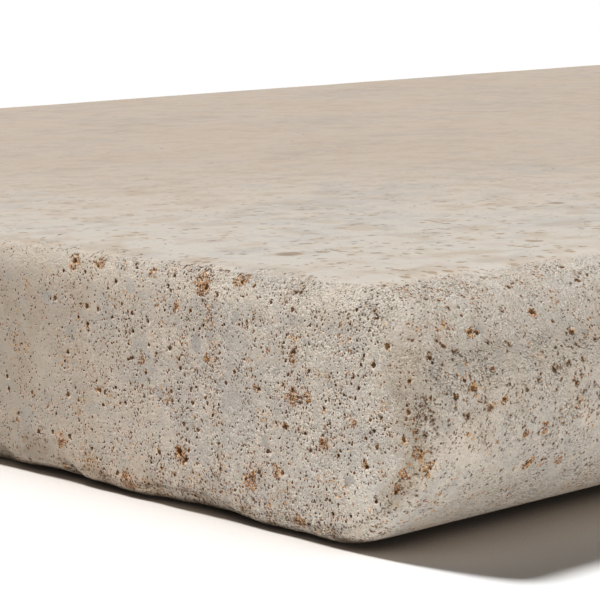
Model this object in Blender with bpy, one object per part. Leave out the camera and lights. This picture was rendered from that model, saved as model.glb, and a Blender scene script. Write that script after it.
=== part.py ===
"""Bullnose pool coping stone in tumbled limestone: one sawn and tumbled piece.

The origin is at the middle of the bed, the face that is laid in mortar. +X runs along the pool
edge, the bullnose faces -Y and +Z is up. Sizes are in metres.
"""

import math

import bmesh
import bpy
from mathutils import Matrix, Vector

LENGTH = 0.610  # sawn end to sawn end
WIDTH = 0.305  # foremost line of the bullnose to the back
THICKNESS = 0.030  # bed to the face that is walked on
NOSE_TOP_RADIUS = 0.013  # upper arc of the bullnose; the lower arc takes the rest of the thickness
TOP_ARRIS = 0.0014  # radius that tumbling gives the edges of the top
BED_ARRIS = 0.0030  # radius that tumbling gives the edges of the bed
BACK_EXTRA = 0.0016  # how much rounder the back's edges are than the ends'
WANDER = 0.0007  # how far a worn radius strays from its mean along an edge
WANDER_WAVES = ((0.089, 0.50), (0.041, 0.30), (0.023, 0.20))  # wavelength, share of WANDER
CORNER_EXTRA = 0.0030  # how much rounder an end's edge is at the top of the bullnose
CORNER_REACH = 0.028  # how far back from the nose line that goes
CORNER_DROP = 0.007  # how far down from the top it goes

EDGE_PITCH = 0.008  # spacing of the points along a worn edge
ARRIS_STEPS = 4  # facets across a worn edge
NOSE_STEPS = 7  # facets across each arc of the bullnose
FLAT_ANGLE = math.radians(0.05)  # faces this close to one plane become one face

# Chips knocked off the edges: side, level, distance along that side from its -X or -Y corner,
# length along the edge, bite below the worn edge.
CHIPS = (
    ("left", "bed", 0.041, 0.024, 0.0007),
    ("left", "bed", 0.064, 0.006, 0.0008),
    ("left", "bed", 0.081, 0.014, 0.0011),
    ("left", "bed", 0.158, 0.022, 0.0016),
    ("left", "top", 0.214, 0.010, 0.0007),
    ("right", "bed", 0.096, 0.020, 0.0014),
    ("right", "top", 0.061, 0.009, 0.0006),
    ("right", "bed", 0.246, 0.014, 0.0012),
    ("back", "bed", 0.118, 0.026, 0.0018),
    ("back", "top", 0.233, 0.012, 0.0008),
    ("back", "bed", 0.402, 0.018, 0.0013),
    ("back", "top", 0.517, 0.015, 0.0009),
)
CHIP_ROUNDNESS = 4.0  # radius of a chip's hollow, as a multiple of its bite
CHIP_STEPS = 2  # times that the round cutter is divided

LIMESTONE = (0.60, 0.55, 0.48, 1.0)


def wander(run, phase):
    """Slow irregular drift, from about -1 to 1, of a worn edge at a distance along it."""
    return sum(
        share * math.sin(math.tau * run / wavelength + phase * (1 + order))
        for order, (wavelength, share) in enumerate(WANDER_WAVES)
    )


def corner_wear(height, run):
    """From 1 at the top of the bullnose, where knocks come from three sides, to 0 away from it."""
    back = (run + WIDTH / 2) / CORNER_REACH
    down = (THICKNESS - height) / CORNER_DROP
    away = back * back + down * down
    return 1 / (1 + away * away * away)


def end_radius(height, run, side):
    """Worn radius of an end's edge: rounder low down and at the corner, and drifting along it."""
    mean = BED_ARRIS + (TOP_ARRIS - BED_ARRIS) * height / THICKNESS
    mean += CORNER_EXTRA * corner_wear(height, run)
    return mean + WANDER * wander(run + height, 1.3 + side)


def back_radius(level, x):
    """Worn radius of the back's upper or lower edge at a place along the stone."""
    mean = TOP_ARRIS if level == "top" else BED_ARRIS
    return mean + BACK_EXTRA + WANDER * wander(x, 4.1 if level == "top" else 5.9)


def arc(centre, radius, start, end, steps):
    """Points of an arc in the YZ plane, each with its outward normal; angles in degrees from +Y."""
    points = []
    for step in range(steps + 1):
        angle = math.radians(start + (end - start) * step / steps)
        normal = Vector((math.cos(angle), math.sin(angle)))
        points.append((Vector(centre) + radius * normal, normal))
    return points


def flat(start, end, normal):
    """Evenly spaced points strictly between two ends of a straight stretch of the section."""
    start, end, normal = Vector(start), Vector(end), Vector(normal)
    count = max(1, round((end - start).length / EDGE_PITCH))
    return [(start.lerp(end, step / count), normal) for step in range(1, count)]


def section(x):
    """The stone's outline across its length at x, as (point, outward normal) pairs in (y, z)."""
    nose, back = -WIDTH / 2, WIDTH / 2
    nose_bed_radius = THICKNESS - NOSE_TOP_RADIUS
    nose_height = nose_bed_radius
    low, high = back_radius("bed", x), back_radius("top", x)
    bed_end, top_end = nose + nose_bed_radius, nose + NOSE_TOP_RADIUS
    roundest = BED_ARRIS + BACK_EXTRA + WANDER
    return [
        *arc((back - low, low), low, 0, -90, ARRIS_STEPS),
        *flat((back - roundest, 0), (bed_end, 0), (0, -1)),
        *arc((bed_end, nose_height), nose_bed_radius, -90, -180, NOSE_STEPS),
        *arc((top_end, nose_height), NOSE_TOP_RADIUS, 180, 90, NOSE_STEPS)[1:],
        *flat((top_end, THICKNESS), (back - roundest, THICKNESS), (0, 1)),
        *arc((back - high, THICKNESS - high), high, 90, 0, ARRIS_STEPS),
    ]


def ring(bm, x, side=0, turn=0.0):
    """One loop of vertices round the stone. On a side of -1 or 1 it is a step of that end's worn
    edge, from turn 0 where the edge begins to turn 90 on the end's own plane."""
    lean = math.radians(turn)
    loop = []
    for point, normal in section(x):
        radius = end_radius(point.y, point.x, side) if side else 0.0
        shrunk = point - normal * radius * (1 - math.cos(lean))
        loop.append(bm.verts.new((x - side * radius * (1 - math.sin(lean)), *shrunk)))
    return loop


def rings(bm):
    """Every loop from the left end to the right one."""
    end = LENGTH / 2
    turns = [90 * step / ARRIS_STEPS for step in range(ARRIS_STEPS + 1)]
    reach = end - BED_ARRIS - WANDER - EDGE_PITCH / 2
    count = round(2 * reach / EDGE_PITCH)
    loops = [ring(bm, -end, -1, turn) for turn in reversed(turns)]
    loops += [ring(bm, -reach + 2 * reach * step / count) for step in range(count + 1)]
    loops += [ring(bm, end, 1, turn) for turn in turns]
    return loops


def chip_cutter(number, side, level, run, length, bite):
    """Hidden ellipsoid that takes a shallow hollow out of one edge."""
    along_x = side == "back"
    across = Vector((0, 1, 0)) if along_x else Vector((1 if side == "right" else -1, 0, 0))
    up = Vector((0, 0, 1 if level == "top" else -1))
    height = THICKNESS if level == "top" else 0.0
    if along_x:
        edge = Vector((run - LENGTH / 2, WIDTH / 2, height))
        worn = back_radius(level, edge.x)
    else:
        edge = Vector((across.x * LENGTH / 2, run - WIDTH / 2, height))
        worn = end_radius(height, edge.y, across.x)
    outward = (across + up).normalized()
    hollow = CHIP_ROUNDNESS * bite
    depth = bite + worn * (math.sqrt(2) - 1)
    half_sizes = (length / 2, hollow, hollow) if along_x else (hollow, length / 2, hollow)

    bm = bmesh.new()
    bmesh.ops.create_icosphere(bm, subdivisions=CHIP_STEPS, radius=1.0)
    bmesh.ops.scale(bm, vec=half_sizes, verts=bm.verts)
    bmesh.ops.transform(
        bm, matrix=Matrix.Translation(edge + outward * (hollow - depth)), verts=bm.verts
    )
    mesh = bpy.data.meshes.new(f"chip_cutter_{number}")
    bm.to_mesh(mesh)
    bm.free()
    cutter = bpy.data.objects.new(mesh.name, mesh)
    cutter.hide_render = True
    cutter.display_type = "WIRE"
    return cutter


def limestone():
    """Dry, unpolished pale limestone."""
    material = bpy.data.materials.new("limestone")
    material.use_nodes = True
    shader = material.node_tree.nodes["Principled BSDF"]
    shader.inputs["Base Color"].default_value = LIMESTONE
    shader.inputs["Roughness"].default_value = 0.85
    shader.inputs["Metallic"].default_value = 0.0
    return material


def coping_stone():
    """The stone: worn loops lofted along its length, closed by the sawn ends, less its chips."""
    bm = bmesh.new()
    loops = rings(bm)
    for near, far in zip(loops, loops[1:]):
        for i, corner in enumerate(near):
            before = i - 1
            bm.faces.new((near[before], corner, far[i], far[before]))
    bm.faces.new(loops[0])
    bm.faces.new(loops[-1])
    bmesh.ops.recalc_face_normals(bm, faces=bm.faces)
    bmesh.ops.dissolve_limit(bm, angle_limit=FLAT_ANGLE, verts=bm.verts, edges=bm.edges)
    mesh = bpy.data.meshes.new("coping_stone")
    bm.to_mesh(mesh)
    bm.free()
    mesh.materials.append(limestone())
    mesh.shade_smooth()
    mesh.set_sharp_from_angle(angle=math.radians(30))

    stone = bpy.data.objects.new("coping_stone", mesh)
    bpy.context.scene.collection.objects.link(stone)
    chips = bpy.data.collections.new("chips")
    bpy.context.scene.collection.children.link(chips)
    for number, chip in enumerate(CHIPS):
        chips.objects.link(chip_cutter(number, *chip))
    knock_off = stone.modifiers.new("chips", "BOOLEAN")
    knock_off.operation = "DIFFERENCE"
    knock_off.solver = "EXACT"
    knock_off.operand_type = "COLLECTION"
    knock_off.collection = chips
    return stone


def main():
    for leftover in list(bpy.data.objects):
        bpy.data.objects.remove(leftover)
    coping_stone()


main()
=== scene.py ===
"""Bullnose pool coping stone in tumbled limestone, with its floor, light and camera.

The sawn blank is a closed mesh whose faces get smaller towards the corner that is seen close up.
Geometry Nodes then shape it as the mason does: the bullnose is ground, tumbling wears the edges
round and knocks chips off them, and the pits of the stone come open. The nodes also note on the
mesh where rust, stains and shells lie, for the limestone material. Sizes are in metres.
"""

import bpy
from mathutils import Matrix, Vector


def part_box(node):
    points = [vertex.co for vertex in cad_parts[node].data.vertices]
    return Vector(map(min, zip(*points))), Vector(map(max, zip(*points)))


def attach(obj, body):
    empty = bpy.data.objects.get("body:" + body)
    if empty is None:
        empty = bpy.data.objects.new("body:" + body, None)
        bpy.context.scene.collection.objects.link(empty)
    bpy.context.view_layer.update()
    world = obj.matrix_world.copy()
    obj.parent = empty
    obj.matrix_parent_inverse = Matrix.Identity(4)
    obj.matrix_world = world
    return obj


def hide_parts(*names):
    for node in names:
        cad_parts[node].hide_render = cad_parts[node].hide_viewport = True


bl_info = {
    "name": "Tumbled Coping Stone",
    "version": (1, 0, 0),
    "blender": (4, 5, 0),
    "location": "3D Viewport > Sidebar > Coping Stone",
    "description": "Shapes and finishes a bullnose coping stone in tumbled limestone",
    "category": "Add Mesh",
}

import math
from types import SimpleNamespace

import bmesh
import bpy
from bpy.props import FloatProperty, FloatVectorProperty, IntProperty, PointerProperty
from mathutils import Matrix, Vector

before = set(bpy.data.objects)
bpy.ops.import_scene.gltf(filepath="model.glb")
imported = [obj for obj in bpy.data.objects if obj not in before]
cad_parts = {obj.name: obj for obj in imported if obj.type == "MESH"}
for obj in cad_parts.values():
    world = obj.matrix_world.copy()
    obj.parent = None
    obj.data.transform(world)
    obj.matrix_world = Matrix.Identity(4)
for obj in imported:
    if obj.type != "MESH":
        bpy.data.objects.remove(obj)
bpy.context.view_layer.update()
STONE_LOW, STONE_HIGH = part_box("coping_stone")
STONE_SIZE = STONE_HIGH - STONE_LOW
MM = 0.001

# The drift of a worn edge along its length: wavelength, share of the whole drift.
WANDER_WAVES = ((0.089, 0.50), (0.041, 0.30), (0.023, 0.20))

# Chips knocked off the edges: side, level, distance along that side from its -X or -Y corner,
# length along the edge, bite below the worn edge.
CHIPS = (
    ("left", "bed", 0.041, 0.024, 0.0007),
    ("left", "bed", 0.064, 0.006, 0.0008),
    ("left", "bed", 0.081, 0.014, 0.0011),
    ("left", "bed", 0.158, 0.022, 0.0016),
    ("left", "top", 0.214, 0.010, 0.0007),
    ("right", "bed", 0.096, 0.020, 0.0014),
    ("right", "top", 0.061, 0.009, 0.0006),
    ("right", "bed", 0.246, 0.014, 0.0012),
    ("back", "bed", 0.118, 0.026, 0.0018),
    ("back", "top", 0.233, 0.012, 0.0008),
    ("back", "bed", 0.402, 0.018, 0.0013),
    ("back", "top", 0.517, 0.015, 0.0009),
)
CHIP_ROUNDNESS = 4.0  # radius of a chip's hollow, as a multiple of its bite

# Marks seen close up, in millimetres. On the left end: distance from the nose, height, radius.
END_MARKS = {
    "pits": (
        (63.0, 27.1, 0.28), (60.6, 28.5, 0.45), (52.5, 26.7, 0.33), (58.4, 20.9, 0.36),
        (58.3, 20.0, 0.30), (42.5, 27.0, 0.38), (41.3, 28.4, 0.30), (35.5, 27.5, 0.42),
        (38.4, 24.5, 0.30), (36.3, 25.9, 0.30), (27.4, 28.6, 0.30), (50.0, 17.6, 0.26),
        (45.0, 18.7, 0.26), (56.3, 12.9, 0.32), (40.9, 14.9, 0.24), (36.9, 11.6, 0.26),
        (20.5, 21.6, 0.34), (21.6, 18.9, 0.30), (19.8, 15.9, 0.32), (9.8, 21.3, 0.30),
        (11.0, 20.1, 0.24), (10.2, 18.7, 0.32), (22.2, 12.9, 0.32), (23.9, 13.1, 0.26),
        (14.9, 14.2, 0.26), (7.9, 14.3, 0.30), (9.2, 13.3, 0.30), (18.2, 10.7, 0.30),
        (13.6, 10.8, 0.28), (9.2, 10.2, 0.34), (41.3, 7.4, 0.50), (40.2, 6.5, 0.40),
        (7.5, 27.0, 0.28), (17.0, 24.4, 0.24), (18.1, 23.7, 0.22), (75.8, 10.7, 0.38),
    ),
    "rust": (
        (60.6, 28.3, 1.30), (55.7, 28.8, 1.10), (45.2, 28.5, 0.90), (36.0, 28.0, 1.70),
        (29.6, 29.3, 1.50), (40.9, 24.8, 0.90), (47.9, 17.8, 0.80), (35.7, 19.2, 0.70),
        (56.4, 12.8, 0.60), (20.7, 20.9, 0.80), (20.9, 16.3, 1.10), (18.2, 16.9, 0.90),
        (27.0, 16.8, 0.70), (22.2, 12.9, 0.60), (11.1, 14.7, 0.80), (15.8, 11.9, 0.90),
        (23.7, 7.7, 1.00), (9.3, 10.2, 0.70), (1.0, 12.4, 0.90), (1.6, 15.2, 0.40),
        (3.4, 10.1, 0.90), (4.4, 8.3, 0.90), (41.0, 7.0, 1.50), (51.9, 1.9, 1.80),
        (28.4, 5.9, 1.60), (20.5, 2.0, 1.20), (64.9, 5.5, 1.20),
    ),
    "stain": (
        (2.8, 22.4, 3.00), (3.2, 19.2, 3.20), (2.8, 16.2, 2.60), (1.2, 13.4, 2.20),
        (1.2, 11.0, 2.20), (3.4, 9.0, 2.40), (5.6, 7.0, 2.20), (71.4, 3.3, 3.20),
        (58.9, 2.5, 3.00), (47.3, 1.7, 3.00), (30.0, 1.8, 2.00),
    ),
    "shell": (
        (37.6, 20.8, 1.30), (35.2, 21.8, 0.90), (49.7, 26.5, 1.20), (45.0, 14.1, 0.70),
        (61.9, 19.8, 0.90), (14.6, 18.6, 0.60), (25.7, 10.7, 0.90), (12.0, 8.3, 1.00),
        (19.2, 18.6, 0.60), (66.4, 23.5, 1.10), (30.3, 24.6, 0.80),
    ),
    "calm": ((44.6, 10.7, 2.50), (29.6, 22.0, 1.50), (57.0, 24.0, 2.50), (68.0, 15.0, 3.00)),
}
# On the bullnose: distance from the left end, height, radius.
NOSE_MARKS = {
    "pits": (
        (4.9, 24.8, 0.28), (4.8, 18.7, 0.26), (4.8, 18.2, 0.26), (7.6, 19.0, 0.32),
        (19.9, 10.1, 0.24), (18.4, 7.3, 0.32), (16.3, 12.3, 0.28), (20.2, 28.0, 0.32),
        (10.6, 26.0, 0.34), (9.4, 26.3, 0.30), (6.1, 23.8, 0.30), (14.6, 23.4, 0.28),
        (25.0, 23.5, 0.30), (22.6, 25.6, 0.24), (12.4, 17.0, 0.28), (10.2, 16.4, 0.28),
        (6.7, 16.1, 0.22), (13.5, 15.0, 0.24), (21.7, 14.4, 0.24), (24.2, 17.2, 0.30),
    ),
    "rust": (
        (7.6, 18.9, 0.80), (12.4, 16.9, 0.70), (10.2, 16.4, 0.70), (18.5, 7.3, 1.00),
        (16.3, 12.3, 0.70), (9.7, 26.2, 1.00), (20.2, 28.1, 0.70), (6.6, 28.6, 0.80),
        (25.0, 23.6, 0.70), (19.3, 12.5, 1.00), (1.5, 10.5, 1.10), (24.0, 6.5, 1.00),
    ),
    "shell": ((27.1, 23.2, 0.80), (11.1, 26.4, 0.70), (6.4, 21.4, 0.70)),
    "calm": ((5.9, 13.5, 2.00), (8.1, 10.2, 2.00), (26.0, 12.6, 1.60), (7.3, 3.4, 1.40)),
}
# On the top: distance from the left end, distance from the nose, radius.
TOP_FLECKS = ((13.4, 35.7, 2.10), (17.1, 33.9, 1.10), (40.5, 21.1, 1.30), (74.8, 48.2, 1.60))
MARK_KINDS = ("pits", "rust", "stain", "shell", "calm")

# Width of a grain of the stone.
GRAIN = 0.24 * MM

# Round pores of three sizes: how far apart and how wide in millimetres, and a seed.
PORES = {"small": (0.46, 0.165, 17), "medium": (0.95, 0.24, 18), "wide": (2.2, 0.37, 19)}

# How deep the gaps of lost grains, the pores and the marked pits look, in millimetres.
DEPTHS = {"grain": 0.10, "small": 0.22, "medium": 0.32, "wide": 0.42, "pit": 0.32}

WHITE = (1.0, 1.0, 1.0)

BED_EDGE = 2.0 * MM  # on the bed, away from its rim, the mesh is asked to be no finer than this
LONGEST_EDGE = 11 * MM  # and anywhere no coarser than this
ON_FACE = 0.01 * MM  # what is closer than this to a face of the blank lies on it

# Open air over the floor where the painted shade beside the stone is darkest, and where it ends.
RIM_AIR = (0.32, 0.76)
# The same for the painted shade in the gap under the bullnose, and the share of the light that is left
# there.
GAP_AIR = (0.0, 0.42)
GAP_LIGHT = 0.18

# Names of what is noted on the mesh for the nodes and the material.
PLACE = "place"  # a point's place before the pits and the grain are cut
CENTRE = "pit_centre"  # the centre of the nearest pit
REACH = "pit_reach"  # that pit's radius, or 0 away from it
FINENESS = "fineness"  # from 1 where the mesh is fine enough for pits to 0 where it is coarse
MARK_RADIUS = "mark_radius"


class Field:
    """An output in a node tree, written in formulas as a number or a vector is."""

    def __init__(self, socket):
        self.socket = socket
        self.tree = socket.id_data
        self.is_vector = socket.type in ("VECTOR", "RGBA")

    def __add__(self, other):
        return combine("ADD", self, other)

    def __radd__(self, other):
        return combine("ADD", other, self)

    def __sub__(self, other):
        return combine("SUBTRACT", self, other)

    def __rsub__(self, other):
        return combine("SUBTRACT", other, self)

    def __mul__(self, other):
        return combine("MULTIPLY", self, other)

    def __rmul__(self, other):
        return combine("MULTIPLY", other, self)

    def __truediv__(self, other):
        return combine("DIVIDE", self, other)

    def __rtruediv__(self, other):
        return combine("DIVIDE", other, self)

    def __abs__(self):
        return combine("ABSOLUTE", self)

    def __gt__(self, other):
        return combine("GREATER_THAN", self, other)

    def __lt__(self, other):
        return combine("LESS_THAN", self, other)

    def parts(self):
        """The three numbers of a vector."""
        node = self.tree.nodes.new("ShaderNodeSeparateXYZ")
        self.tree.links.new(self.socket, node.inputs[0])
        return [Field(output) for output in node.outputs]

    def length(self):
        return add_node(self.tree, "ShaderNodeVectorMath", (self,), 1, operation="LENGTH")


def add_node(tree, kind, inputs=(), output=0, **settings):
    """Adds a node, links or sets its inputs by name or in order, and gives one output as a Field."""
    node = tree.nodes.new(kind)
    for setting, value in settings.items():
        setattr(node, setting, value)
    for key, value in inputs.items() if isinstance(inputs, dict) else enumerate(inputs):
        if isinstance(value, Field):
            tree.links.new(value.socket, node.inputs[key])
        else:
            node.inputs[key].default_value = value
    return Field(node.outputs[output]) if node.outputs else None


def combine(operation, *values):
    """One step of arithmetic, on vectors where one of the values is a vector."""
    fields = [value for value in values if isinstance(value, Field)]
    if not any(field.is_vector for field in fields):
        return add_node(fields[0].tree, "ShaderNodeMath", values, operation=operation)
    values = [(value,) * 3 if isinstance(value, (int, float)) else value for value in values]
    return add_node(fields[0].tree, "ShaderNodeVectorMath", values, operation=operation)


def larger(a, b):
    return combine("MAXIMUM", a, b)


def smaller(a, b):
    return combine("MINIMUM", a, b)


def sine(value):
    return combine("SINE", value) if isinstance(value, Field) else math.sin(value)


def vector(x, y, z):
    """A vector from three numbers, at least one of which is a Field."""
    tree = next(part.tree for part in (x, y, z) if isinstance(part, Field))
    return add_node(tree, "ShaderNodeCombineXYZ", (x, y, z))


def mix(share, a, b):
    """a where the share is 0 and b where it is 1."""
    whole = any(value.is_vector if isinstance(value, Field) else hasattr(value, "__len__")
                for value in (a, b))
    form, first, output = ("VECTOR", 4, 1) if whole else ("FLOAT", 2, 0)
    inputs = {0: share, first: a, first + 1: b}
    return add_node(share.tree, "ShaderNodeMix", inputs, output, data_type=form)


def smooth(value, start, end, low=0.0, high=1.0):
    """Goes gently from low to high as the value goes from start to end."""
    inputs = (value, start, end, low, high)
    return add_node(value.tree, "ShaderNodeMapRange", inputs, interpolation_type="SMOOTHSTEP")


def fade(value, start, end):
    """1 while the value is under start, then gently down to 0 at end."""
    return smooth(value, start, end, 1.0, 0.0)


def within(distance, near, far):
    """1 up to a distance and 0 past a farther one, both in millimetres."""
    return fade(distance, near * MM, far * MM)


def beyond(distance, near, far):
    """0 up to a distance and 1 past a farther one, both in millimetres."""
    return smooth(distance, near * MM, far * MM)


def noise(place, size, detail=2.0, seed=0, vectors=False):
    """Cloudy noise from 0 to 1 with features of about a size, or three of them as a vector."""
    inputs = {"Vector": place + 7.3 * seed * size, "Scale": 1 / size, "Detail": detail}
    return add_node(place.tree, "ShaderNodeTexNoise", inputs, 1 if vectors else 0)


def patches(place, size, detail, seed, start, end, low=0.0, high=1.0):
    """Noise of a size in millimetres, as patches: low where it is under start, high past end."""
    return smooth(noise(place, size * MM, detail, seed), start, end, low, high)


def cells(place, size, seed=0):
    """The distance to the centre of the nearest of many scattered cells, and three chances."""
    node = place.tree.nodes.new("ShaderNodeTexVoronoi")
    place.tree.links.new((place + 7.3 * seed * size).socket, node.inputs["Vector"])
    node.inputs["Scale"].default_value = 1 / size
    return Field(node.outputs["Distance"]) * size, Field(node.outputs["Color"]).parts()


def ragged(place, size, amount, seed=0):
    """A place pushed about by noise, so that what is drawn there gets an uneven outline."""
    return place + (noise(place, size, 1.0, seed, vectors=True) - 0.5) * amount


def named(tree, name, kind="FLOAT"):
    """What the nodes noted on the mesh under a name, inside Geometry Nodes."""
    return add_node(tree, "GeometryNodeInputNamedAttribute", (name,), data_type=kind)


def margins(place, sizes):
    """How far a place lies from the nearer end, the nose line, the top and the bed."""
    x, y, z = place.parts()
    return sizes.length / 2 - abs(x), y + sizes.width / 2, sizes.thickness - z, z


def wander(run, phase):
    """Slow irregular drift, from about -1 to 1, of a worn edge at a distance along it."""
    drift = 0.0
    for order, (wavelength, part) in enumerate(WANDER_WAVES):
        drift = drift + part * sine(run * (math.tau / wavelength) + phase * (1 + order))
    return drift


def corner_wear(sizes, height, run):
    """From 1 at the top of the bullnose, where knocks come from three sides, to 0 away from it."""
    back = (run + sizes.width / 2) / sizes.corner_reach
    down = (sizes.thickness - height) / sizes.corner_drop
    away = back * back + down * down
    return 1.0 / (1.0 + away * away * away)


def end_radius(sizes, height, run, side):
    """Worn radius of an end's edge: rounder low down and at the corner, and drifting along it."""
    slope = (sizes.top_arris - sizes.bed_arris) / sizes.thickness
    mean = sizes.bed_arris + slope * height + sizes.corner_extra * corner_wear(sizes, height, run)
    return mean + sizes.wander * wander(run + height, 1.3 + side)


def back_radius(sizes, level, x):
    """Worn radius of the back's upper or lower edge at a place along the stone."""
    mean = sizes.top_arris if level == "top" else sizes.bed_arris
    return mean + sizes.back_extra + sizes.wander * wander(x, 4.1 if level == "top" else 5.9)


def worn(place, sizes):
    """Where a point of the blank's surface lies once the bullnose is ground and the edges are worn."""
    x, y, z = place.parts()
    side_x, side_y = combine("SIGN", x), combine("SIGN", y)
    nose_height = sizes.thickness - sizes.nose_top_radius
    half_length, half_width = sizes.length / 2, sizes.width / 2
    side_z = combine("SIGN", z - nose_height)
    above, behind = z > nose_height, y > 0.0

    # Across the stone, each corner of the square section is drawn in to its round one.
    half_height = mix(above, nose_height, sizes.nose_top_radius)
    back = mix(above, back_radius(sizes, "bed", x), back_radius(sizes, "top", x))
    radius = mix(behind, half_height, back)
    across = abs(y) - half_width + radius
    up = abs(z - nose_height) - half_height + radius
    reach = larger(across, up)
    diagonal = vector(across, up, 0.0).length()
    in_corner = smaller(across, up) > 0.0
    outward_y = mix(in_corner, across > up, across / diagonal)
    outward_z = mix(in_corner, 1.0 - (across > up), up / diagonal)
    inset = radius - reach
    drawn_in = mix(in_corner, 1.0, reach / diagonal)
    outline_y = half_width - radius + across * drawn_in + outward_y * inset
    outline_z = half_height - radius + up * drawn_in + outward_z * inset

    # At the ends, the edge all round the section is worn in the same way.
    height, run = nose_height + side_z * outline_z, side_y * outline_y
    end = end_radius(sizes, height, run, side_x)
    depth = half_length - abs(x)
    inner, along = end - inset, end - depth
    on_edge = smaller(inner, along) > 0.0
    shrink = larger(inner, along) / vector(inner, along, 0.0).length()
    inset = mix(on_edge, inset, end - inner * shrink)
    depth = mix(on_edge, depth, end - along * shrink)
    return vector(
        side_x * (half_length - depth),
        side_y * (outline_y - outward_y * inset),
        nose_height + side_z * (outline_z - outward_z * inset),
    )


def chip_hollow(sizes, side, level, run, length, bite):
    """Centre and half sizes of the round hollow that a chip leaves."""
    along_x = side == "back"
    across = Vector((0, 1, 0)) if along_x else Vector((1 if side == "right" else -1, 0, 0))
    up = Vector((0, 0, 1 if level == "top" else -1))
    height = sizes.thickness if level == "top" else 0.0
    if along_x:
        edge = Vector((run - sizes.length / 2, sizes.width / 2, height))
        radius = back_radius(sizes, level, edge.x)
    else:
        edge = Vector((across.x * sizes.length / 2, run - sizes.width / 2, height))
        radius = end_radius(sizes, height, edge.y, across.x)
    hollow = CHIP_ROUNDNESS * bite
    depth = bite + radius * (math.sqrt(2) - 1)
    half_sizes = (length / 2, hollow, hollow) if along_x else (hollow, length / 2, hollow)
    return tuple(edge + (across + up).normalized() * (hollow - depth)), half_sizes


def chipped(place, sizes):
    """The place pushed out of every chip's hollow, onto its surface."""
    for chip in CHIPS:
        centre, half_sizes = chip_hollow(sizes, *chip)
        offset = (place - centre) / half_sizes
        reach = offset.length()
        place = mix(reach < 1.0, place, offset / reach * half_sizes + centre)
    return place


def nearest_mark(geometry, marks, place):
    """The centre of the nearest mark, its radius, and how far away it is."""
    tree = geometry.tree
    position = add_node(tree, "GeometryNodeInputPosition")
    index = add_node(tree, "GeometryNodeSampleNearest", (marks, place), domain="POINT")

    def sample(value, kind):
        inputs = {"Geometry": marks, "Value": value, "Index": index}
        return add_node(tree, "GeometryNodeSampleIndex", inputs, data_type=kind, domain="POINT")

    centre = sample(position, "FLOAT_VECTOR")
    radius = sample(named(tree, MARK_RADIUS), "FLOAT")
    return centre, radius, (place - centre).length()


def on_surface(geometry, marks):
    """The marks, moved to the nearest point of the stone's surface."""
    tree = geometry.tree
    nearest = add_node(tree, "GeometryNodeProximity", (geometry,), target_element="FACES")
    return add_node(tree, "GeometryNodeSetPosition", {"Geometry": marks, "Position": nearest})


def scattered_pits(geometry, sizes):
    """Pit centres strewn at random over the close-up part of the rough faces."""
    tree = geometry.tree
    _, _, z = named(tree, PLACE, "FLOAT_VECTOR").parts()
    near_top, at_top = sizes.thickness - 0.8 * MM, sizes.thickness - 0.2 * MM
    rough = smooth(z, near_top, at_top, 1.0, 0.06)
    density = named(tree, FINENESS) * rough * sizes.pits_per_area
    inputs = {"Mesh": geometry, "Density": density, "Seed": sizes.seed}
    points = add_node(tree, "GeometryNodeDistributePointsOnFaces", inputs)
    chance = tree.nodes.new("FunctionNodeRandomValue")
    chance.data_type = "FLOAT"
    tree.links.new(sizes.seed.socket, chance.inputs["Seed"])
    luck = Field(next(o for o in chance.outputs if o.enabled))
    radius = sizes.smallest_pit + (sizes.largest_pit - sizes.smallest_pit) * luck * luck * luck
    return store(points, MARK_RADIUS, radius)


def store(geometry, name, value, kind="FLOAT"):
    """Notes a value on every point under a name."""
    tree, inputs = geometry.tree, {"Geometry": geometry, "Name": name, "Value": value}
    node = "GeometryNodeStoreNamedAttribute"
    return add_node(tree, node, inputs, data_type=kind, domain="POINT")


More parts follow.
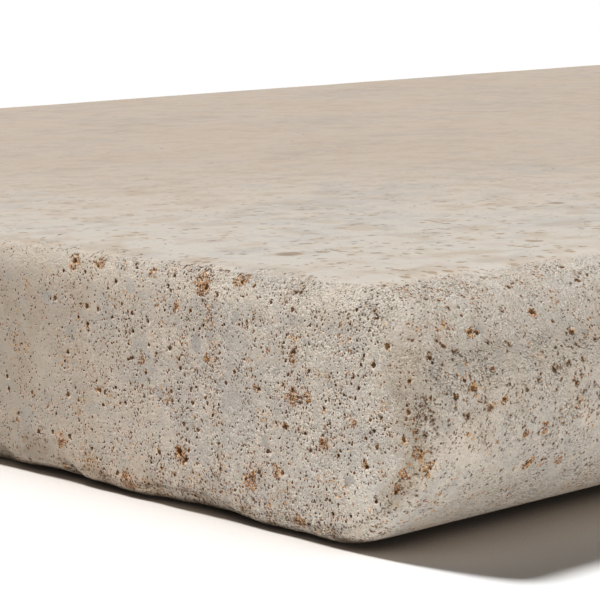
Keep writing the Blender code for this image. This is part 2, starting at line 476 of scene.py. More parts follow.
def shaping_tree(sizes, material):
    """The Geometry Nodes that turn the sawn blank into the tumbled stone."""
    tree = bpy.data.node_groups.new("tumbled_stone", "GeometryNodeTree")
    tree.is_modifier = True
    tree.interface.new_socket("Geometry", in_out="INPUT", socket_type="NodeSocketGeometry")
    tree.interface.new_socket("Geometry", in_out="OUTPUT", socket_type="NodeSocketGeometry")
    for key, name, kind in tree_inputs():
        socket = tree.interface.new_socket(name, in_out="INPUT", socket_type=kind)
        socket.default_value = getattr(sizes, key)
    for kind in MARK_KINDS:
        tree.interface.new_socket(kind, in_out="INPUT", socket_type="NodeSocketObject")
    start = tree.nodes.new("NodeGroupInput")
    inputs = SimpleNamespace(**{key: Field(start.outputs[name]) for key, name, _ in tree_inputs()})
    blank = Field(start.outputs["Geometry"])

    sawn = add_node(tree, "GeometryNodeInputPosition")
    shape = chipped(worn(sawn, inputs), sizes)
    stone = add_node(tree, "GeometryNodeSetPosition", {"Geometry": blank, "Position": shape})
    place = add_node(tree, "GeometryNodeInputPosition")
    stone = store(stone, PLACE, place, "FLOAT_VECTOR")

    marks = {}
    for kind in MARK_KINDS:
        helper = {"Object": Field(start.outputs[kind])}
        loose = add_node(tree, "GeometryNodeObjectInfo", helper, "Geometry")
        marks[kind] = on_surface(stone, add_node(tree, "GeometryNodeMeshToPoints", {"Mesh": loose}))
    join = tree.nodes.new("GeometryNodeJoinGeometry")
    for points in (marks["pits"], scattered_pits(stone, inputs)):
        tree.links.new(points.socket, join.inputs[0])
    marks["pits"] = Field(join.outputs[0])

    for kind in MARK_KINDS[1:]:
        _, radius, distance = nearest_mark(stone, marks[kind], place)
        stone = store(stone, kind, fade(distance / radius, 0.2, 1.5))
    centre, radius, distance = nearest_mark(stone, marks["pits"], place)
    stone = store(stone, CENTRE, centre, "FLOAT_VECTOR")
    stone = store(stone, REACH, radius * fade(distance / radius, 1.6, 1.9))

    # Knocks have broken the lowest edge of the ends, so that it stands a little off the floor.
    to_end, to_nose, to_top, to_bed = margins(place, inputs)
    by_bed = within(vector(to_end, to_bed, 0.0).length(), 1.0, 7.0)
    by_top = within(vector(to_end, to_top, 0.0).length(), 0.5, 2.5)
    along = smooth(to_nose, 8 * MM, 35 * MM, 0.1, 1.0) * smooth(to_nose, 72 * MM, 88 * MM, 1.0, 0.2)
    bed_knocks = patches(place, 13.0, 3.0, 1, 0.35, 0.65, 0.4, 1.0) * along * inputs.bed_knocks
    top_knocks = patches(place, 5.0, 3.0, 2, 0.42, 0.66) * inputs.top_knocks
    knocks = larger(by_bed * bed_knocks, by_top * top_knocks)

    # Pits and a slight unevenness, where the mesh is fine enough to hold them.
    fineness = named(tree, FINENESS)
    hollow = radius * fade(distance / radius, 0.2, 1.15) * inputs.pit_depth
    rolling = noise(place, 4.0 * MM, 2.0, 3) * 0.5 + noise(place, 1.3 * MM, 1.0, 4) * 0.5
    depth = knocks + fineness * (hollow + rolling * inputs.grain_depth)
    normal = add_node(tree, "GeometryNodeInputNormal")
    inward = {"Geometry": stone, "Offset": normal * (0.0 - depth)}
    stone = add_node(tree, "GeometryNodeSetPosition", inward)
    stone = add_node(tree, "GeometryNodeRealizeInstances", (stone,))
    stone = add_node(tree, "GeometryNodeSetMaterial", {"Geometry": stone, "Material": material})
    end = tree.nodes.new("NodeGroupOutput")
    tree.links.new(stone.socket, end.inputs[0])
    return tree


def longest(face):
    return max(face.edges, key=lambda edge: edge.calc_length())


def halve(edge):
    """Cuts an edge and the triangles on it in two, and gives the triangles that come of it."""
    faces = list(edge.link_faces)
    tips = [next(vert for vert in face.verts if vert not in edge.verts) for face in faces]
    middle = bmesh.utils.edge_split(edge, edge.verts[0], 0.5)[1]
    cut = [bmesh.utils.face_split(face, middle, tip)[0] for face, tip in zip(faces, tips)]
    return faces + cut


def refine(bm, wanted):
    """Halves triangles across their longest edge until none is longer than wanted there."""
    pending = list(bm.faces)
    while pending:
        face = pending.pop()
        edge = longest(face)
        if edge.calc_length() <= wanted((edge.verts[0].co + edge.verts[1].co) / 2):
            continue
        nearby = face
        while True:
            other = next(found for found in edge.link_faces if found is not nearby)
            shared = longest(other)
            if shared is edge:
                break
            nearby, edge = other, shared
        if face not in edge.link_faces:
            pending.append(face)
        pending.extend(halve(edge))


def wanted_edge(sizes, point):
    """How long an edge of the mesh may be at a place on the blank."""
    half_length, half_width = sizes.length / 2, sizes.width / 2
    from_end, from_nose = point.x + half_length, point.y + half_width
    under_top = sizes.thickness - point.z
    on_end, on_bed = from_end < ON_FACE, point.z < ON_FACE
    on_top = under_top < ON_FACE and from_nose > sizes.nose_top_radius
    beyond_end = max(from_end - (4 * MM if on_top else sizes.close_nose), 0.0)
    beyond_nose = max(from_nose - sizes.close_end, 0.0)
    if not on_end and not on_top:
        beyond_nose = max(from_nose - sizes.nose_top_radius, 0.0)
    size = sizes.close_mesh + sizes.mesh_growth * math.hypot(beyond_end, beyond_nose)
    if on_bed:
        size = max(size, BED_EDGE)
    to_sides = half_length - abs(point.x), half_width - abs(point.y), min(point.z, under_top)
    to_edge = sorted(to_sides)[1]
    on_edge = 1.9 * MM + 0.45 * max(to_edge - 5 * MM, 0.0)
    on_nose = 4.2 * MM + 0.5 * max(from_nose - 17 * MM, 0.0)
    return min(size, on_edge, on_nose, LONGEST_EDGE)


def sawn_blank(sizes):
    """The square-edged slab as a closed mesh of triangles, small ones where it is seen close up."""
    bm = bmesh.new()
    bmesh.ops.create_cube(bm, size=1.0)
    extent = (sizes.length, sizes.width, sizes.thickness)
    for axis, span in enumerate(extent):
        count = round(span / sizes.blank_cell)
        along = Vector([float(axis == i) for i in range(3)])
        for cut in range(1, count):
            bmesh.ops.bisect_plane(
                bm, geom=bm.verts[:] + bm.edges[:] + bm.faces[:],
                plane_co=along * (cut / count - 0.5), plane_no=along,
            )
    bmesh.ops.translate(bm, vec=(0, 0, 0.5), verts=bm.verts)
    bmesh.ops.scale(bm, vec=extent, verts=bm.verts)
    bmesh.ops.triangulate(bm, faces=bm.faces)
    refine(bm, lambda point: wanted_edge(sizes, point))
    bmesh.ops.recalc_face_normals(bm, faces=bm.faces)
    layer = bm.verts.layers.float.new(FINENESS)
    for vert in bm.verts:
        coarsest = max(edge.calc_length() for edge in vert.link_edges)
        vert[layer] = min(max((2.5 * sizes.close_mesh - coarsest) / sizes.close_mesh, 0.0), 1.0)
    mesh = bpy.data.meshes.new("coping_stone_blank")
    bm.to_mesh(mesh)
    bm.free()
    mesh.shade_smooth()
    return mesh


def add_object(name, data):
    """Puts a new object with this data in the scene."""
    obj = bpy.data.objects.new(name, data)
    bpy.context.scene.collection.objects.link(obj)
    return obj


def mark_object(sizes, kind):
    """The centres of one kind of mark as loose points, each with its radius."""
    left, nose = -sizes.length / 2, -sizes.width / 2
    points, radii = [], []
    for run, height, radius in END_MARKS.get(kind, ()):
        points.append((left, nose + run * MM, height * MM))
        radii.append(radius * MM)
    for run, height, radius in NOSE_MARKS.get(kind, ()):
        points.append((left + run * MM, nose, height * MM))
        radii.append(radius * MM)
    mesh = bpy.data.meshes.new("marks_" + kind)
    mesh.from_pydata(points, [], [])
    mesh.attributes.new(MARK_RADIUS, "FLOAT", "POINT").data.foreach_set("value", radii)
    return add_object(mesh.name, mesh)


def shaped(blank, tree, values):
    """The blank's mesh as the tree leaves it, as a plain mesh."""
    maker = add_object("coping_stone_blank", blank)
    modifier = maker.modifiers.new("tumbled_stone", "NODES")
    modifier.node_group = tree
    for item in tree.interface.items_tree:
        if item.item_type == "SOCKET" and item.in_out == "INPUT" and item.name in values:
            modifier[item.identifier] = values[item.name]
    depsgraph = bpy.context.evaluated_depsgraph_get()
    result = bpy.data.meshes.new_from_object(
        maker.evaluated_get(depsgraph), preserve_all_data_layers=True, depsgraph=depsgraph
    )
    maker.modifiers.remove(modifier)
    bpy.data.objects.remove(maker)
    return result


def noted(tree, name, output="Fac"):
    """What the nodes noted on the mesh under a name, inside the material."""
    return add_node(tree, "ShaderNodeAttribute", (), output, attribute_name=name)


def zones(tree, sizes):
    """A point's place, its distances from the sides, and how far it is in each part of the stone."""
    at = SimpleNamespace(place=noted(tree, PLACE, "Vector"), calm=noted(tree, "calm"))
    at.to_end, at.to_nose, at.to_top, at.to_bed = margins(at.place, sizes)
    broken = at.to_end - patches(at.place, 3.0, 3.0, 27, 0.50, 0.72) * 3.5 * MM
    at.honed = within(at.to_top, 0.10, 0.75) * beyond(broken, 0.8, 1.6)
    at.rough = 1.0 - at.honed
    at.worn_edge = within(vector(at.to_end, at.to_top, 0.0).length(), 1.5, 5.5) * at.rough
    at.inland = beyond((at.to_end + at.to_nose) * 0.5, 15, 130) * at.honed
    at.on_end = within(at.to_end, 1, 4)
    at.near = at.on_end * within(at.to_nose, 40, 80)  # the part of the end seen close up
    at.far = beyond(at.to_nose, 35, 75)
    at.low = within(at.to_bed, 1, 8)
    at.arris = within(at.to_end, 1, 7) * within(at.to_nose, 3, 9)  # between end and bullnose
    at.nose = beyond(at.to_end, 1, 5) * within(at.to_nose, 14, 18)
    # Low on the bullnose the stone is smoother, with fewer pores, and its colour is painted lighter.
    at.smooth_and_lit = within(at.to_bed, 7, 17) * within(at.to_nose, 10, 16)  # low on the bullnose
    return at


def clouded(at, finish):
    """Clouds of cream, warm and cool grey, the tint of each part, and painted light and shade on some
    parts.
    """
    clouds = 0.35 * noise(at.place, 38 * MM, 2.0, 1) + 0.35 * noise(at.place, 7 * MM, 3.0, 2)
    clouds = clouds + 0.30 * noise(at.place, 1.8 * MM, 2.0, 3)
    colour = mix(smooth(clouds, 0.40, 0.52), finish.cool, finish.pale)
    colour = mix(smooth(clouds, 0.50, 0.62), colour, finish.warm)
    # Painted shade: the top is darker and warmer away from the corner.
    colour = mix(at.inland, colour, colour * finish.inland)
    # Painted shade: all faces but the top darken from 30 to 100 mm behind the nose line.
    colour = mix(beyond(at.to_nose, 30, 100) * at.rough, colour, colour * finish.far_shade)
    # Painted light: low on the bullnose the colour is lifted by 14 percent and slightly tinted.
    smooth_and_lit = mix(at.smooth_and_lit, WHITE, finish.smooth_and_lit)
    colour = colour * (1.0 + 0.14 * at.smooth_and_lit + 0.08 * at.calm) * smooth_and_lit
    colour = mix(at.on_end * beyond(at.to_nose, 5, 50), colour, colour * finish.sawn)
    # Painted light: the upper curve of the bullnose, off the ends, is made 12 percent lighter.
    painted_nose_light = within(at.to_top, 1, 6) * within(at.to_nose, 10, 13)
    return clouds, colour * (1.0 + 0.12 * painted_nose_light * (1.0 - at.on_end))


def shelly(at, finish, colour):
    """Grey clouds on the ends, and bits of shell, smoother and greyer than the stone round them."""
    grey = patches(at.place * (1.0, 1.0, 1.4), 6.5, 3.0, 31, 0.48, 0.66) * at.on_end
    colour = mix(grey * 0.30, colour, finish.shell)
    uneven = ragged(at.place, 2.2 * MM, 2.4 * MM, 5)
    distance, (luck, width, tint) = cells(uneven * (1.0, 0.6, 1.7), 4.4 * MM, 6)
    scattered = fade(distance / (1.6 * MM * (0.30 + 0.70 * width)), 0.70, 1.0)
    scattered = scattered * (luck < 0.5) * 0.6
    marked = noted(at.place.tree, "shell") + (noise(at.place, 1.1 * MM, 3.0, 7) - 0.5) * 1.9
    marked = smooth(marked, 0.50, 0.62)
    shell = larger(scattered, marked) * at.rough
    greyer = larger(shell * (0.35 + 0.50 * tint), marked * at.rough * 0.7)
    return shell, mix(greyer, colour, finish.shell)


def rust_and_dirt(at):
    """Rusty clusters, those seen close up and more of them everywhere, and dirt on the edges."""
    tree = at.place.tree
    marked = noted(tree, "rust") * 1.3 + (noise(at.place, 0.8 * MM, 3.0, 12) - 0.5) * 2.2
    anywhere = patches(at.place, 3.2, 3.0, 11, 0.52, 0.66) * 0.26
    lowest = at.low * patches(at.place, 2.2, 3.0, 29, 0.44, 0.62) * 0.26
    cluster = larger(smooth(marked, 0.35, 1.0), larger(anywhere, lowest)) * at.rough
    dirt = larger(noted(tree, "stain"), 0.5 * at.arris)
    dirt = larger(dirt, at.low * (0.20 + 0.20 * at.on_end + 0.25 * at.far))
    dirt = smooth(dirt + noise(at.place, 1.6 * MM, 4.0, 21) - 0.5, 0.15, 1.1) * at.rough
    return cluster, dirt


def crumbliness(at, dense, dirt):
    """How crumbly the face is: most of all at the sawn ends by the corner, and in patches."""
    crumbly = smooth(at.to_nose, 20 * MM, 80 * MM, 1.0, 0.12) + 0.20 * at.near + 0.25 * dirt
    crumbly = crumbly * (0.50 + 0.80 * patches(at.place, 3.5, 2.0, 25, 0.35, 0.65))
    crumbly = (crumbly * (1.0 - 0.6 * dense) + 0.5 * at.worn_edge) * (1.0 - 0.93 * at.honed)
    return crumbly * (1.0 - 0.35 * at.smooth_and_lit)


def openness(at, dense, cluster):
    """The share of the grains that have fallen out, which the share of the pores follows."""
    open_stone = patches(at.place, 5.0, 2.0, 13, 0.38, 0.62)
    share = 0.20 * open_stone * smooth(at.to_nose, 30 * MM, 100 * MM, 1.0, 0.3)
    share = 0.04 + share + 0.38 * cluster
    share = share * (1.0 + 0.7 * at.near) * (1.0 - 0.25 * at.nose) * (1.0 - 0.35 * at.arris)
    share = share * (1.0 - 0.97 * at.honed) * (1.0 - 0.6 * dense) * (1.0 - 0.5 * at.smooth_and_lit)
    return share * (1.0 - 0.3 * at.worn_edge)


def flecked(at, sizes, finish, colour):
    """Grey and tan flecks on the top, where the saw has cut through shells and filled pores."""
    uneven = ragged(at.place, 1.0 * MM, 0.9 * MM, 22)
    distance, (luck, width, tint) = cells(uneven, 1.5 * MM, 23)
    fleck = fade(distance / (0.95 * MM * (0.15 + 0.85 * width)), 0.5, 1.0)
    streaky = patches(at.place, 8.0, 3.0, 24, 0.42, 0.60, 0.12, 0.75)
    fleck = fleck * (luck < streaky) * (1.0 - 0.9 * at.inland)
    for run, back, radius in TOP_FLECKS:
        centre = (run * MM - sizes.length / 2, back * MM - sizes.width / 2, sizes.thickness)
        away = (uneven - centre).length() / (radius * MM)
        fleck = larger(fleck, fade(away, 0.6, 1.0))
    blotch = patches(at.place, 6.0, 4.0, 26, 0.46, 0.64) * at.honed * (1.0 - 0.6 * at.inland)
    streaks = patches(at.place, 26, 4.0, 28, 0.46, 0.62) * at.honed * at.inland
    colour = mix(blotch * 0.36 + streaks * 0.08, colour, colour * finish.tan_fleck)
    fleck = fleck * at.honed
    return mix(fleck * 0.9, colour, colour * mix(tint, finish.grey_fleck, finish.tan_fleck))


def pores(place, size, share):
    """Holes scattered through the stone: how far inside one a point is, and how near to one."""
    spacing, widest, seed = PORES[size]
    distance, (luck, width, _) = cells(place, spacing * MM, seed)
    radius = widest * MM * (0.60 + 0.40 * width)
    there = luck < share
    hole = fade(distance / radius, 0.80, 1.05) * there
    rim = fade(distance / radius, 0.9, 1.7) * there
    return hole, rim


def pits(place):
    """The same two for the pits whose centres are noted on the mesh."""
    reach = larger(noted(place.tree, REACH), 0.001 * MM)
    away = (place - noted(place.tree, CENTRE, "Vector")).length() / reach
    return fade(away, 0.60, 0.85), fade(away, 0.8, 1.5)


def soiled_and_shaded(at, finish, colour, hole, cluster, dirt):
    """Dirt on the edges, the paler bruised edge of the top, and painted shade close to the floor."""
    colour = mix(dirt * 0.52, colour, colour * finish.stain)
    bruise = at.worn_edge * (1.0 - hole) * (1.0 - 0.85 * cluster)
    colour = mix(bruise * 0.4, colour, finish.bruised) * (1.0 + 0.08 * at.worn_edge)
    # Painted shade: the lowest one to two millimetres of the ends and the bullnose are darkened where
    # they meet the floor.
    under_end = within(at.to_bed, 0.25, 1.1) * within(at.to_end, 3, 6)
    under_nose = within(at.to_bed, 0.7, 1.7) * within(at.to_nose, 14, 18)
    return mix(larger(under_end * 0.8, under_nose * 0.9), colour, finish.contact_shade)


def limestone(sizes, finish):
    """Pale limestone: clouded cream and grey, with shells, pores, open pits, rust and stains."""
    material = bpy.data.materials.new("limestone")
    material.use_nodes = True
    tree = material.node_tree
    at = zones(tree, sizes)
    clouds, colour = clouded(at, finish)
    shell, colour = shelly(at, finish, colour)
    dense = larger(at.calm, shell)
    cluster, dirt = rust_and_dirt(at)
    crumbly = crumbliness(at, dense, dirt)

    # The grains of the stone: each has its own tone, the gaps between them are darkened as painted
    # shade, and some are rusty.
    uneven = ragged(at.place, 0.30 * MM, 0.16 * MM, 14)
    distance, (luck, shade, kind) = cells(uneven, GRAIN, 15)
    grain = distance / GRAIN
    lumps = noise(at.place, 1.6 * MM, 2.0, 10)
    tone_and_gap_shade = (shade - 0.5) * 0.30 - 0.16 * smooth(grain, 0.35, 0.80) + 0.06
    tone_and_gap_shade = tone_and_gap_shade * crumbly * (1.0 - 0.25 * at.arris) + (lumps - 0.5) * 0.25 * at.rough
    colour = colour * larger(1.0 + tone_and_gap_shade, 0.2)
    rusty_grain = mix(smooth(shade, 0.25, 0.75), finish.rust, finish.ochre)
    colour = mix((kind < cluster * 0.55) * 0.85, colour, rusty_grain)
    colour = colour * (1.0 + 0.22 * (kind > 0.80) * cluster)
    share = openness(at, dense, cluster)
    tiny = fade(grain, 0.38, 0.60) * (luck < share)
    colour = flecked(at, sizes, finish, colour)

    # Round pores, thickest in the clusters and where the stone is open, and the marked pits.
    uneven = ragged(at.place, 0.34 * MM, 0.42 * MM, 16)
    small, small_rim = pores(uneven, "small", share * (2.0 + at.near - 0.3 * at.nose))
    medium, medium_rim = pores(uneven, "medium", share * (0.9 + 0.7 * at.near))
    wide, wide_rim = pores(uneven, "wide", share * (1.0 + at.near) * (1.0 - 0.5 * at.smooth_and_lit))
    pit, pit_rim = pits(uneven)
    rim = larger(larger(small_rim * 0.5, medium_rim * 0.7), larger(wide_rim, pit_rim))
    rusty = smooth(noise(at.place, 2.6 * MM, 3.0, 20) + 0.25 * cluster, 0.42, 0.66)
    rusty = rim * (0.30 + 0.60 * larger(rusty, 0.5 * at.nose)) * smooth(kind, 0.20, 0.60)
    # Painted highlight: round the pores the colour is lifted by up to a quarter for their lit lips;
    # rusty rims take the rust colours.
    colour = mix(rusty, colour * (1.0 + 0.24 * rim), rusty_grain)
    hole = larger(larger(tiny * 0.80, small * 0.95), larger(larger(medium, wide), pit))
    browner = smooth(kind + 0.35 * larger(at.nose, at.arris), 0.15, 1.0)
    # The pores and pits are coloured dark inside: partly their own brown, partly painted shade in the
    # hollows.
    colour = mix(hole, colour, mix(browner, finish.pore, finish.brown))
    colour = soiled_and_shaded(at, finish, colour, hole, cluster, dirt)

    # The relief of the grains, lumps, pores and pits, as a height in metres.
    fine = (noise(at.place, 0.50 * MM, 2.0, 9) - 0.5) * 0.28 - (grain * grain - 0.3) * 0.17
    height = fine * MM * crumbly * (1.0 - 0.25 * at.arris)
    height = height + (noise(at.place, 0.22 * MM, 1.0, 30) - 0.5) * 0.10 * MM * at.rough
    slow = (lumps - 0.5) * 0.22 + (clouds - 0.5) * 0.4
    height = height + slow * MM * (0.06 + 0.94 * at.rough)
    shallow = tiny * DEPTHS["grain"] + small_rim * DEPTHS["small"] + medium_rim * DEPTHS["medium"]
    height = height - shallow * MM
    height = height - (wide_rim * DEPTHS["wide"] + pit_rim * DEPTHS["pit"]) * MM
    bump = add_node(tree, "ShaderNodeBump", {"Height": height, "Distance": 1.0, "Strength": 1.0})

    shader = tree.nodes["Principled BSDF"]
    roughness = 0.90 - 0.12 * at.honed - 0.08 * shell
    tree.links.new(colour.socket, shader.inputs["Base Color"])
    tree.links.new(roughness.socket, shader.inputs["Roughness"])
    tree.links.new(bump.socket, shader.inputs["Normal"])
    shader.inputs["Metallic"].default_value = 0.0
    shader.inputs["Specular IOR Level"].default_value = 0.25
    # With the correction, light that only grazes the stone loses the relief.
    material.cycles.use_bump_map_correction = False
    return material


def make_stone(sizes, finish):
    """Makes the finished stone, which stands for the plain one."""
    material = limestone(sizes, finish)
    tree = shaping_tree(sizes, material)
    values = {name: getattr(sizes, key) for key, name, _ in tree_inputs()}
    marks = {kind: mark_object(sizes, kind) for kind in MARK_KINDS}
    mesh = shaped(sawn_blank(sizes), tree, values | marks)
    for helper in marks.values():
        bpy.data.objects.remove(helper)
    mesh.name = "limestone_coping"
    stone = add_object(mesh.name, mesh)
    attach(stone, "root")
    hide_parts("coping_stone")
    return stone


def direction(azimuth, elevation):
    """Towards a lamp or camera: azimuth from +X towards +Y, elevation above the floor."""
    flat = math.cos(elevation)
    return Vector((flat * math.cos(azimuth), flat * math.sin(azimuth), math.sin(elevation)))


def seen_by_camera(tree):
    """1 for what the camera sees, also in gloss and through glass, and 0 for light on the stone."""
    path = tree.nodes.new("ShaderNodeLightPath")
    seen = Field(path.outputs["Is Camera Ray"])
    for name in ("Is Glossy Ray", "Is Transmission Ray"):
        seen = larger(seen, Field(path.outputs[name]))
    return seen


def floor(studio):
    """A wide pale floor. What the camera sees of it is white, apart from the stone's shadow and
    a painted shade beside the stone, darker where less open air is above the floor."""
    mesh = bpy.data.meshes.new("floor")
    half = studio.floor_size / 2
    corners = [(-half, -half, 0), (half, -half, 0), (half, half, 0), (-half, half, 0)]
    mesh.from_pydata(corners, [], [(0, 1, 2, 3)])
    material = bpy.data.materials.new("pale_floor")
    material.use_nodes = True
    tree = material.node_tree
    tree.nodes.remove(tree.nodes["Principled BSDF"])
    # Painted shade: the floor's colour is darkened where the stone hides the open air above it.
    reach = {"Distance": studio.shade_reach}
    open_air = add_node(tree, "ShaderNodeAmbientOcclusion", reach, 1, samples=8)
    shade = mix(smooth(open_air, *RIM_AIR), studio.floor_shade, WHITE)
    shade = shade * smooth(open_air, *GAP_AIR, GAP_LIGHT, 1.0)
    colour = mix(seen_by_camera(tree), studio.floor_colour, shade * studio.floor_seen)
    surface = add_node(tree, "ShaderNodeBsdfDiffuse", {"Color": colour})
    tree.links.new(surface.socket, tree.nodes["Material Output"].inputs["Surface"])
    mesh.materials.append(material)
    add_object("floor", mesh)


def sky(studio):
    """Even soft light from all round, seen by the camera as white."""
    world = bpy.data.worlds.new("studio")
    bpy.context.scene.world = world
    world.use_nodes = True
    tree = world.node_tree
    background = tree.nodes["Background"]
    seen = seen_by_camera(tree)
    strength = mix(seen, studio.sky_strength, 1.0)
    tint = mix(seen, studio.sky_colour, WHITE)
    tree.links.new(tint.socket, background.inputs["Color"])
    tree.links.new(strength.socket, background.inputs["Strength"])


def lamp(name, azimuth, elevation, strength, angle, colour):
    """A far soft lamp. Its strength is how brightly it lights a white surface that faces it."""
    data = bpy.data.lights.new(name, "SUN")
    data.energy = strength * math.pi
    data.angle = angle
    data.color = colour
    obj = add_object(name, data)
    obj.rotation_euler = direction(azimuth, elevation).to_track_quat("Z", "Y").to_euler()


def camera(studio):
    """The camera at the photographed corner: low, close and turned a little about its own axis."""
    data = bpy.data.cameras.new("camera")
    data.lens = studio.lens
    data.clip_start = 0.01
    data.clip_end = 100.0
    obj = add_object("camera", data)
    look = direction(studio.look_azimuth, -studio.look_down)
    turn = look.to_track_quat("-Z", "Y").to_matrix() @ Matrix.Rotation(-studio.roll, 3, "Z")
    place = Matrix.Translation(STONE_LOW + Vector(studio.camera_place))
    obj.matrix_world = place @ turn.to_4x4()
    bpy.context.scene.camera = obj


def make_studio(studio):
    floor(studio)
    sky(studio)
    lamp(
        "key_lamp", studio.key_azimuth, studio.key_elevation, studio.key_strength,
        studio.key_softness, WHITE,
    )
    lamp(
        "low_lamp", studio.low_azimuth, studio.low_elevation, studio.low_strength,
        studio.low_softness, studio.low_colour,
    )
    camera(studio)
    bpy.context.scene.view_settings.view_transform = "Standard"


# Short forms of Blender's property types, for the settings below.
def length(name, description, default):
    return FloatProperty(
        name=name, description=description, default=default, min=0.0, unit="LENGTH", precision=5
    )


def colour(name, description, default):
    return FloatVectorProperty(
        name=name, description=description, default=default, subtype="COLOR", min=0.0, max=1.0
    )


def angle(name, description, degrees):
    return FloatProperty(
        name=name, description=description, default=math.radians(degrees), subtype="ANGLE"
    )


def number(name, description, default):
    return FloatProperty(name=name, description=description, default=default, min=0.0)


class StoneSizes(bpy.types.PropertyGroup):
    """Sizes of the stone and of its mesh."""

    length: length("Length", "Sawn end to sawn end", STONE_SIZE.x)
    width: length("Width", "Foremost line of the bullnose to the back", STONE_SIZE.y)
    thickness: length("Thickness", "Bed to the face that is walked on", STONE_SIZE.z)
    nose_top_radius: length("Nose Top Radius", "Upper arc of the bullnose", 0.013)
    top_arris: length("Top Arris", "Worn radius of the top's edges", 0.0014)
    bed_arris: length("Bed Arris", "Worn radius of the bed's edges", 0.0030)
    back_extra: length("Back Extra", "How much rounder the back's edges are", 0.0016)
    corner_extra: length("Corner Extra", "How much rounder an end is at the nose's top", 0.0030)
    corner_reach: length("Corner Reach", "How far back from the nose line that goes", 0.028)
    corner_drop: length("Corner Drop", "How far down from the top it goes", 0.007)
    wander: length("Wander", "How far a worn radius strays from its mean", 0.0007)
    bed_knocks: length("Bed Knocks", "Most that knocks take off the bed's end edges", 0.0008)
    top_knocks: length("Top Knocks", "Most that knocks take off the top's end edges", 0.00035)
    pit_depth: number("Pit Depth", "Depth of an open pit, as a share of its radius", 0.9)
    grain_depth: length("Grain Depth", "How uneven the surface is", 0.00016)
    smallest_pit: length("Smallest Pit", "Least radius of an open pit", 0.00010)
    largest_pit: length("Largest Pit", "Greatest radius of an open pit", 0.00034)
    pits_per_area: number("Pits per Area", "Open pits on a square metre", 90000.0)
    seed: IntProperty(name="Seed", description="Start of the random draws", default=7)
    blank_cell: length("Blank Cell", "First cut of the blank into cells", 0.0076)
    close_mesh: length("Close Mesh", "Longest mesh edge where it is seen close up", 0.00052)
    close_nose: length("Close Nose", "Part of the bullnose seen close up", 0.032)
    close_end: length("Close End", "Part of the end seen close up", 0.078)
    mesh_growth: number("Mesh Growth", "How fast mesh edges lengthen away from there", 0.2)


# The sizes that the shaping nodes take.
TREE_KEYS = (
    "length", "width", "thickness", "nose_top_radius", "top_arris", "bed_arris", "back_extra",
    "corner_extra", "corner_reach", "corner_drop", "wander", "bed_knocks", "top_knocks",
    "pit_depth", "grain_depth", "smallest_pit", "largest_pit", "pits_per_area", "seed",
)


def tree_inputs():
    """Key, shown name and socket type of each of those sizes."""
    for key in TREE_KEYS:
        shown = StoneSizes.bl_rna.properties[key]
        whole = shown.type == "INT"
        yield key, shown.name, "NodeSocketInt" if whole else "NodeSocketFloat"


class StoneFinish(bpy.types.PropertyGroup):
    """Colours of the limestone, and of the painted light and shade on parts of it. Some multiply the
    colour of a part of the stone.
    """

    pale: colour("Pale", "Cream of the stone", (0.625, 0.575, 0.51))
    warm: colour("Warm", "Warmer clouds", (0.59, 0.525, 0.45))
    cool: colour("Cool", "Cooler clouds", (0.55, 0.52, 0.48))
    # Painted shade for the top away from the corner.
    inland: colour("Inland", "Multiplies the top away from the corner", (0.855, 0.785, 0.73))
    # Painted shade for the faces far behind the nose line.
    far_shade: colour("Far Shade", "Multiplies the ends far from the nose", (0.68, 0.665, 0.64))
    bruised: colour("Bruised", "Worn edge of the top", (0.75, 0.675, 0.58))
    sawn: colour("Sawn", "Multiplies the ends", (1.0, 0.955, 0.92))
    # Tint of the painted light low on the bullnose.
    smooth_and_lit: colour("Smooth And Lit", "Multiplies the lower part of the bullnose", (0.98, 0.99, 1.0))
    ochre: colour("Ochre", "Paler rusty grains", (0.66, 0.36, 0.13))
    rust: colour("Rust", "Darker rusty grains", (0.30, 0.105, 0.026))
    # The insides of the pores: their own brown, darkened further as painted shade.
    pore: colour("Pore", "Inside of the darkest pores", (0.030, 0.012, 0.004))
    brown: colour("Brown", "Inside of the palest pores", (0.19, 0.095, 0.035))
    grey_fleck: colour("Grey Fleck", "Multiplies the top in its grey flecks", (0.50, 0.47, 0.43))
    tan_fleck: colour("Tan Fleck", "Multiplies the top in its tan flecks", (0.66, 0.54, 0.41))
    shell: colour("Shell", "Bits of shell", (0.42, 0.405, 0.385))
    stain: colour("Stain", "Dirt, which multiplies the colour under it", (0.64, 0.545, 0.425))
    # Painted shade under the ends and the bullnose, close to the floor.
    contact_shade: colour("Contact Shade", "Under the ends and the bullnose", (0.10, 0.07, 0.045))


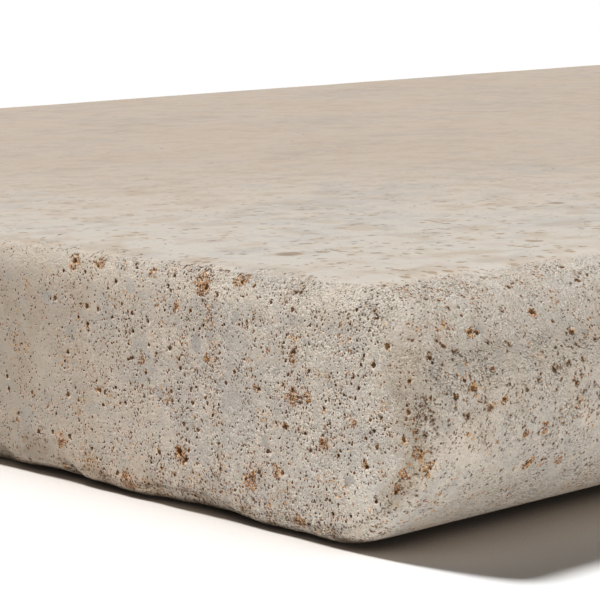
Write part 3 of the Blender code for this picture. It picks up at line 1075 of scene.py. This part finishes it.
class StudioSettings(bpy.types.PropertyGroup):
    """Floor, light and camera."""

    floor_size: length("Floor Size", "Side of the floor", 24.0)
    floor_colour: colour("Floor Colour", "Colour that the floor reflects", (0.86, 0.83, 0.79))
    floor_seen: colour("Floor Seen", "Colour of the floor in the picture", (1.0, 1.0, 1.0))
    # The floor's painted shade beside the stone: how far it reaches and its colour.
    shade_reach: length("Shade Reach", "How far the stone darkens the floor beside it", 0.060)
    floor_shade: colour("Floor Shade", "Multiplies the floor beside the stone", (0.72, 0.655, 0.60))
    sky_strength: number("Sky Strength", "Even light from all round", 0.04)
    sky_colour: colour("Sky Colour", "Of the even light", (1.0, 0.85, 0.68))
    key_azimuth: angle("Key Azimuth", "Where the main lamp stands", 109.8)
    key_elevation: angle("Key Elevation", "How high the main lamp stands", 59.5)
    key_strength: number("Key Strength", "Main lamp", 1.10)
    key_softness: angle("Key Softness", "How wide the main lamp looks", 9.0)
    low_colour: colour("Low Colour", "Of the low lamp", (1.0, 0.96, 0.92))
    low_azimuth: angle("Low Azimuth", "Where the low lamp stands", -105.0)
    low_elevation: angle("Low Elevation", "How high the low lamp stands", 4.0)
    low_strength: number("Low Strength", "Low lamp", 0.52)
    low_softness: angle("Low Softness", "How wide the low lamp looks", 12.0)
    lens: number("Lens", "Focal length in millimetres", 142.14)
    camera_place: FloatVectorProperty(
        name="Camera Place", description="From the stone's left front corner at the floor",
        default=(-0.17307, -0.17284, 0.06525), subtype="TRANSLATION", unit="LENGTH",
    )
    look_azimuth: angle("Look Azimuth", "Where the camera looks, from +X towards +Y", 47.97)
    look_down: angle("Look Down", "How far the camera looks down", 8.30)
    roll: angle("Roll", "Turn of the camera about its own axis", 1.29)


class STONE_OT_coping_stone(bpy.types.Operator):
    """Add the finished coping stone in place of the plain one"""

    bl_idname = "stone.coping_stone"
    bl_label = "Add Coping Stone"
    bl_options = {"REGISTER", "UNDO"}

    def execute(self, context):
        make_stone(context.scene.stone_sizes, context.scene.stone_finish)
        return {"FINISHED"}


class STONE_OT_studio(bpy.types.Operator):
    """Add the floor, the light and the camera"""

    bl_idname = "stone.studio"
    bl_label = "Add Studio"
    bl_options = {"REGISTER", "UNDO"}

    def execute(self, context):
        make_studio(context.scene.studio_settings)
        return {"FINISHED"}


class STONE_PT_panel(bpy.types.Panel):
    """Sizes, colours and buttons of the coping stone"""

    bl_idname = "STONE_PT_panel"
    bl_label = "Coping Stone"
    bl_space_type = "VIEW_3D"
    bl_region_type = "UI"
    bl_category = "Coping Stone"

    def draw(self, context):
        for group, title, operator in (
            (context.scene.stone_sizes, "Sizes", None),
            (context.scene.stone_finish, "Finish", "stone.coping_stone"),
            (context.scene.studio_settings, "Studio", "stone.studio"),
        ):
            column = self.layout.column()
            column.label(text=title)
            for name in group.__annotations__:
                column.prop(group, name)
            if operator:
                column.operator(operator)


CLASSES = (
    StoneSizes,
    StoneFinish,
    StudioSettings,
    STONE_OT_coping_stone,
    STONE_OT_studio,
    STONE_PT_panel,
)


def register():
    for cls in CLASSES:
        bpy.utils.register_class(cls)
    bpy.types.Scene.stone_sizes = PointerProperty(type=StoneSizes)
    bpy.types.Scene.stone_finish = PointerProperty(type=StoneFinish)
    bpy.types.Scene.studio_settings = PointerProperty(type=StudioSettings)


def unregister():
    del bpy.types.Scene.studio_settings
    del bpy.types.Scene.stone_finish
    del bpy.types.Scene.stone_sizes
    for cls in reversed(CLASSES):
        bpy.utils.unregister_class(cls)


def main():
    register()
    bpy.ops.stone.coping_stone()
    bpy.ops.stone.studio()


if __name__ == "__main__":
    main()
